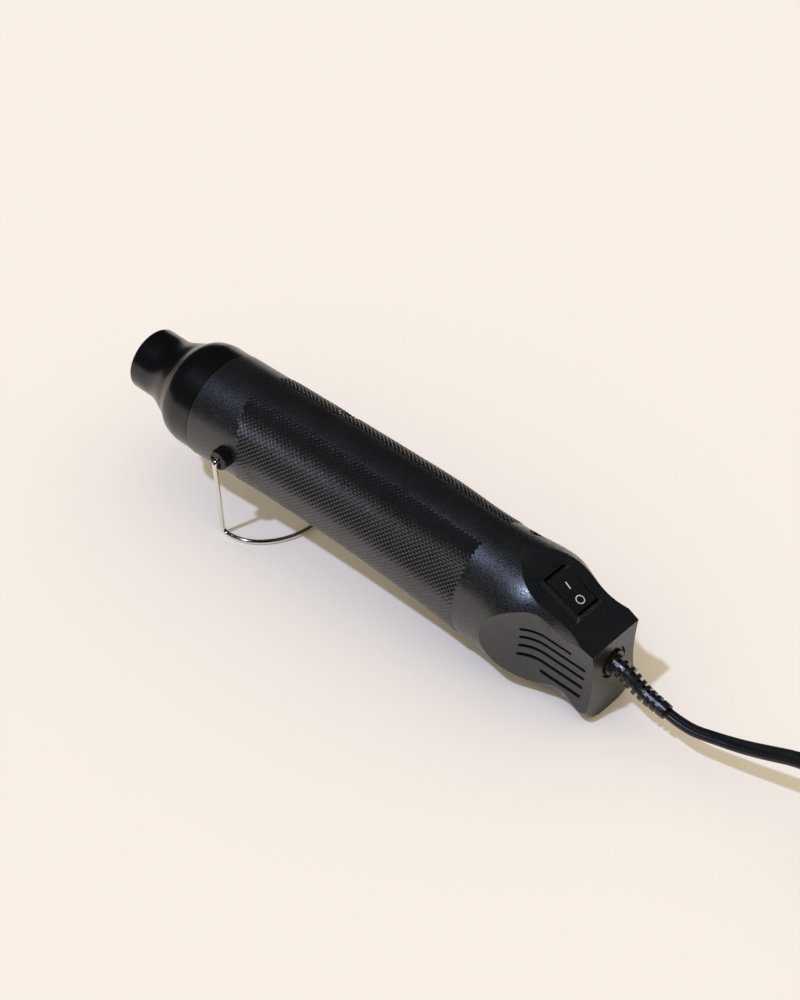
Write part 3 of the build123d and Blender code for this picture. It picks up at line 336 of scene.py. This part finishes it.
def make_knurl(name, shell, side, edge):
    """One shell's patch: diamonds from the edge of the smooth top band to the seam below."""
    tree = tree_of(shell)
    half = knurl_pitch / 2
    first = math.asin(edge / knurl_radius)
    rows = int((math.pi * knurl_radius - first * knurl_radius - seam_half) / half)
    columns = int((knurl_rear - knurl_front) / half)
    found = {}
    for column in range(columns + 1):
        for row in range(rows + 1):
            x = knurl_front + column * half
            turn = first + row * half / knurl_radius
            out = Vector((0, side * math.sin(turn), math.cos(turn)))
            start = placed(x, out.y * cast_reach, knurl_axis + out.z * cast_reach)
            goal = placed(x, 0, knurl_axis)
            hit, normal, _, distance = tree.ray_cast(start, (goal - start).normalized())
            if hit is None or x < knurl_start(turn):
                continue
            radius = cast_reach - distance / MM
            if radius >= least_radius:
                found[column, row] = (hit, normal, radius)
    index, points, faces = {}, [], []

    def corner(key, lift):
        if key not in index:
            hit, normal, _ = found[key]
            index[key] = len(points)
            points.append(hit + normal * lift * MM)
        return index[key]

    for (column, row), (_, _, radius) in list(found.items()):
        ring = [(column + 1, row), (column, row + 1), (column - 1, row), (column, row - 1)]
        if (column + row) % 2 or any(key not in found for key in ring):
            continue
        if any(abs(found[key][2] - radius) > greatest_step for key in ring):
            continue
        top = corner((column, row), knurl_lift + knurl_height)
        low = [corner(key, knurl_lift) for key in ring]
        for here, after in zip(low, low[1:] + low[:1]):
            faces.append((top, after, here) if side < 0 else (top, here, after))
    patch = mesh_piece(name, points, faces, smooth=False)
    patch.data.materials.append(knurl_black)
    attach(patch, "tool")


make_knurl("near_knurl", "left_shell", -1, near_edge)
make_knurl("far_knurl", "right_shell", 1, far_edge)

# Parting line: a fine raised line on top where the two shells meet
seam_front = 1.0
seam_rear = 146.0
seam_steps = 72
seam_width = 0.17
seam_height = 0.05
seam_sink = 0.03


def make_seam():
    """A ridge of two narrow strips that follows the near shell's edge."""
    tree = tree_of("left_shell")
    outward = (placed(0, 0, 1) - placed(0, 0, 0)).normalized()
    points, faces = [], []
    for step in range(seam_steps + 1):
        x = seam_front + (seam_rear - seam_front) * step / seam_steps
        hit, _, _, _ = tree.ray_cast(placed(x, -seam_sink, cast_reach), -outward)
        hit.y = 0
        for side, rise in ((-seam_width, -seam_sink), (0, seam_height), (seam_width, -seam_sink)):
            points.append(hit + Vector((0, side * MM, 0)) + outward * rise * MM)
    for step in range(seam_steps):
        for side in range(2):
            low = 3 * step + side
            faces.append((low, low + 3, low + 4, low + 1))
    seam = mesh_piece("parting_line", points, faces)
    seam.data.materials.append(finishes["casing"])
    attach(seam, "tool")


make_seam()

# Boot: a rim in the gland, and two spines that join the ribs, both measured from the gland's floor
gland_x = 186.49
gland_z = -1.4
rim_profile = [(0.15, 3.6), (0.15, 6.4), (1.5, 6.4), (1.5, 5.2), (2.9, 5.0), (2.9, 3.6)]
rim_sides = 48
boot_line = [
    (1.0, 0.0, -0.05), (4.0, -0.05, -0.21), (7.5, -0.12, -0.69),
    (10.7, -0.31, -1.76), (13.46, -0.5, -2.92), (16.57, -0.72, -3.94),
    (19.8, -0.97, -4.44), (23.7, -1.3, -4.72), (26.6, -1.52, -4.93),
]
boot_root_radius = 3.9
boot_tip_radius = 2.9
spine_half_width = 0.7
spine_inner_share = 0.6
spine_outer_share = 0.985
spine_turns = [math.radians(126), math.radians(306)]


def boot_place(point):
    return placed(gland_x + point.x, point.y, gland_z + point.z)


def make_rim():
    """The rim's profile of places and radii, turned about the gland's axis."""
    points, faces = [], []
    count = len(rim_profile)
    for side in range(rim_sides):
        turn = 2 * math.pi * side / rim_sides
        for x, radius in rim_profile:
            points.append(boot_place(Vector((x, radius * math.cos(turn), radius * math.sin(turn)))))
    for side in range(rim_sides):
        following = (side + 1) % rim_sides
        for step in range(count - 1):
            faces.append((side * count + step, following * count + step,
                          following * count + step + 1, side * count + step + 1))
    return mesh_piece("gland_rim", points, faces, False)


def make_spine(name, spine_turn):
    """A bar along the boot, from inside its core to just under the tops of the ribs."""
    line = [Vector(point) for point in boot_line]
    points, faces = [], []
    for number, place in enumerate(line):
        ahead = line[min(number + 1, len(line) - 1)] - line[max(number - 1, 0)]
        ahead.normalize()
        share = number / (len(line) - 1)
        radius = boot_root_radius + (boot_tip_radius - boot_root_radius) * share
        upward = Vector((-ahead.z, 0, ahead.x))
        outward = Vector((0, 1, 0)) * math.cos(spine_turn) + upward * math.sin(spine_turn)
        aside = ahead.cross(outward).normalized() * spine_half_width
        low = place + outward * radius * spine_inner_share
        high = place + outward * radius * spine_outer_share
        corners = (low - aside, high - aside, high + aside, low + aside)
        points += [boot_place(corner) for corner in corners]
    for number in range(len(line) - 1):
        for side in range(3):
            corner = 4 * number + side
            faces.append((corner, corner + 4, corner + 5, corner + 1))
    last = 4 * (len(line) - 1)
    faces += [(0, 1, 2, 3), (last + 3, last + 2, last + 1, last)]
    return mesh_piece(name, points, faces, False)


spines = [make_spine("boot_spine_" + str(number), turn) for number, turn in enumerate(spine_turns)]
for piece in (make_rim(), *spines):
    piece.data.materials.append(finishes["relief"])
    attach(piece, "tool")

# Marks on the rocker, on its dished face
slope_angle = math.radians(18.9)
slope_start = (147.0, 23.9)
switch_place = 20.6
mark_lift = 0.05
bar_place = -1.8
bar_half_length = 1.4
bar_half_width = 0.22
ring_place = 4.6
ring_radius = 1.6
ring_half_width = 0.17
ring_steps = 32
drop_height = 20.0


def on_slope(along, across, out):
    """A point given along the slope from the switch's middle, across it and out of it."""
    run = switch_place + along
    x = slope_start[0] + run * math.cos(slope_angle) + out * math.sin(slope_angle)
    z = slope_start[1] - run * math.sin(slope_angle) + out * math.cos(slope_angle)
    return placed(x, across, z)


rocker_tree = tree_of("rocker_button")


def on_rocker(along, across):
    start = on_slope(along, across, drop_height)
    down = (on_slope(along, across, 0.0) - start).normalized()
    hit, normal, _, _ = rocker_tree.ray_cast(start, down)
    return hit + normal * mark_lift * MM


def make_mark(name, points, faces):
    mark = mesh_piece(name, points, faces)
    mark.data.materials.append(mark_white)
    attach(mark, "rocker")


bar_steps = 6
bar = []
for step in range(bar_steps + 1):
    along = bar_place - bar_half_length + 2 * bar_half_length * step / bar_steps
    bar += [on_rocker(along, -bar_half_width), on_rocker(along, bar_half_width)]
make_mark("on_mark", bar, [(2 * s, 2 * s + 2, 2 * s + 3, 2 * s + 1) for s in range(bar_steps)])
ring = []
for step in range(ring_steps):
    turn = 2 * math.pi * step / ring_steps
    for radius in (ring_radius - ring_half_width, ring_radius + ring_half_width):
        ring.append(on_rocker(ring_place + radius * math.cos(turn), radius * math.sin(turn)))
make_mark("off_mark", ring, [
    (2 * s, 2 * s + 1, (2 * s + 3) % (2 * ring_steps), (2 * s + 2) % (2 * ring_steps))
    for s in range(ring_steps)
])

# Floor
floor_half = 3.0
floor_tone = surface("pale_floor", (0.955, 0.872, 0.80), 0.85, 2.0, 0.0, 0.05, 0.0, specular=0.1)
floor = mesh_piece("floor", [
    (-floor_half, -floor_half, 0), (floor_half, -floor_half, 0),
    (floor_half, floor_half, 0), (-floor_half, floor_half, 0),
], [(0, 1, 2, 3)])
floor.data.materials.append(floor_tone)

# Camera at the photograph's angle
view_turn = math.radians(41.54)
view_height = math.radians(40.64)
right = Vector((math.cos(view_turn), math.sin(view_turn), 0))
back = Vector((
    math.cos(view_height) * math.sin(view_turn),
    -math.cos(view_height) * math.cos(view_turn),
    math.sin(view_height),
))
up = back.cross(right)
eye = Vector((464.46, -507.4, 621.6)) * MM
camera = link("camera", bpy.data.cameras.new("camera"))
camera.data.sensor_fit = "HORIZONTAL"
camera.data.sensor_width = 36.0
camera.data.lens = 110.59
camera.matrix_world = Matrix.Translation(eye) @ Matrix((right, up, back)).transposed().to_4x4()
bpy.context.scene.camera = camera

# Light: a cool key from high on the near side in a warm, even surround
key_direction = Vector((0.111, 0.446, -0.888))
key = link("key", bpy.data.lights.new("key", "SUN"))
key.data.energy = 1.77
key.data.angle = math.radians(3)
key.data.color = (0.60, 0.70, 1.0)
key.rotation_mode = "QUATERNION"
key.rotation_quaternion = key_direction.to_track_quat("-Z", "Y")
world = bpy.data.worlds.new("surround")
bpy.context.scene.world = world
world.use_nodes = True
background = world.node_tree.nodes["Background"]
background.inputs["Color"].default_value = (1.0, 0.93, 0.71, 1)
background.inputs["Strength"].default_value = 0.70
world.cycles_visibility.glossy = False
bpy.context.scene.view_settings.view_transform = "Standard"
